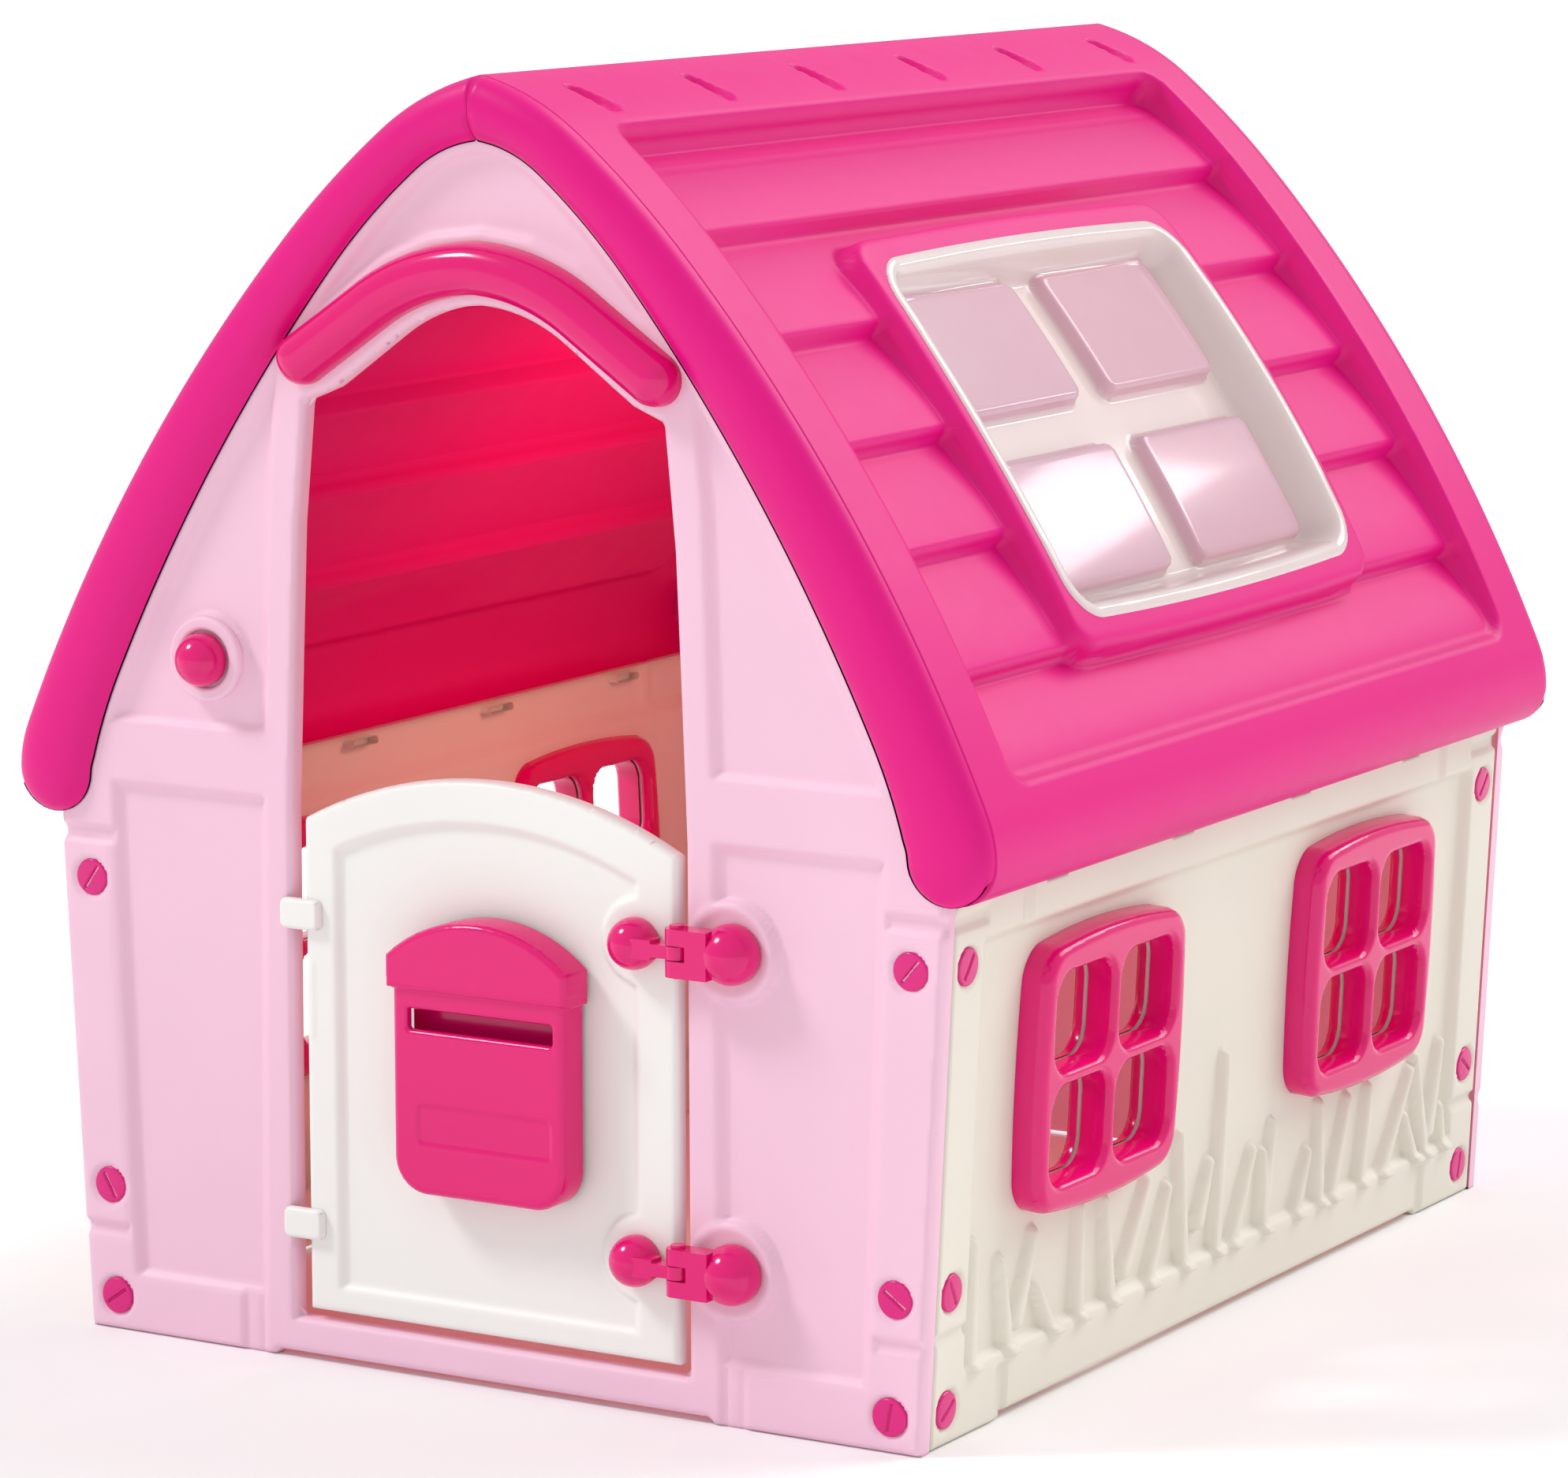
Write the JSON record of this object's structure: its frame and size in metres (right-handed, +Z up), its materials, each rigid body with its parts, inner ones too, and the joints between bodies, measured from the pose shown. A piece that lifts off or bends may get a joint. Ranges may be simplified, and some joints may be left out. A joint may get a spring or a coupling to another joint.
{
  "type": "playhouse",
  "caption": "Walk-in plastic playhouse with curved roof, a skylight, half door with mailbox, framed windows and a doorbell.",
  "frame": {"origin": "on the ground under the middle of the overall box", "axes": "+Z up, the door faces -Y, +X to the right seen from the door side"},
  "size_m": [1.0534, 1.248, 1.2059],
  "materials": {
    "pale_pink": "satin moulded plastic",
    "cream": "satin moulded plastic",
    "roof_pink": "satin moulded plastic",
    "hot_pink": "glossy moulded plastic",
    "screw_pink": "glossy moulded plastic",
    "door_white": "satin moulded plastic",
    "skylight": "translucent plastic",
    "bell_ring": "satin moulded plastic"
  },
  "bodies": {
    "house": {"front_wall": "pale_pink", "rear_wall": "pale_pink", "left_wall": "cream", "right_wall": "cream", "roof_left": "roof_pink", "roof_right": "roof_pink", "door_visor": "hot_pink", "hinge_bracket_lower": "hot_pink", "hinge_bracket_upper": "hot_pink", "hinge_pin_lower": "hot_pink", "hinge_pin_upper": "hot_pink", "window_frame_outer_left_front": "hot_pink", "window_frame_outer_left_rear": "hot_pink", "window_frame_outer_right_front": "hot_pink", "window_frame_outer_right_rear": "hot_pink", "window_frame_inner_left_front": "hot_pink", "window_frame_inner_left_rear": "hot_pink", "window_frame_inner_right_front": "hot_pink", "window_frame_inner_right_rear": "hot_pink", "wall_screws_front": "screw_pink", "wall_screws_rear": "screw_pink", "wall_screws_left": "screw_pink", "wall_screws_right": "screw_pink", "skylight_right": "skylight", "doorbell_ring": "bell_ring"},
    "door": {"door_panel": "door_white", "mailbox": "hot_pink", "door_strap_lower": "hot_pink", "door_strap_upper": "hot_pink"},
    "bell_push": {"doorbell_button": "hot_pink"}
  },
  "joints": [
    {"name": "door_hinge", "type": "hinge", "parent": "house", "child": "door", "pos_m": [0.22, -0.607, 0], "axis": [0, 0, 1], "range_deg": [0, 110]},
    {"name": "doorbell_push", "type": "slide", "parent": "house", "child": "bell_push", "axis": [0, 1, 0], "range_m": [0, 0.004], "stiffness_N_per_m": 300}
  ]
}
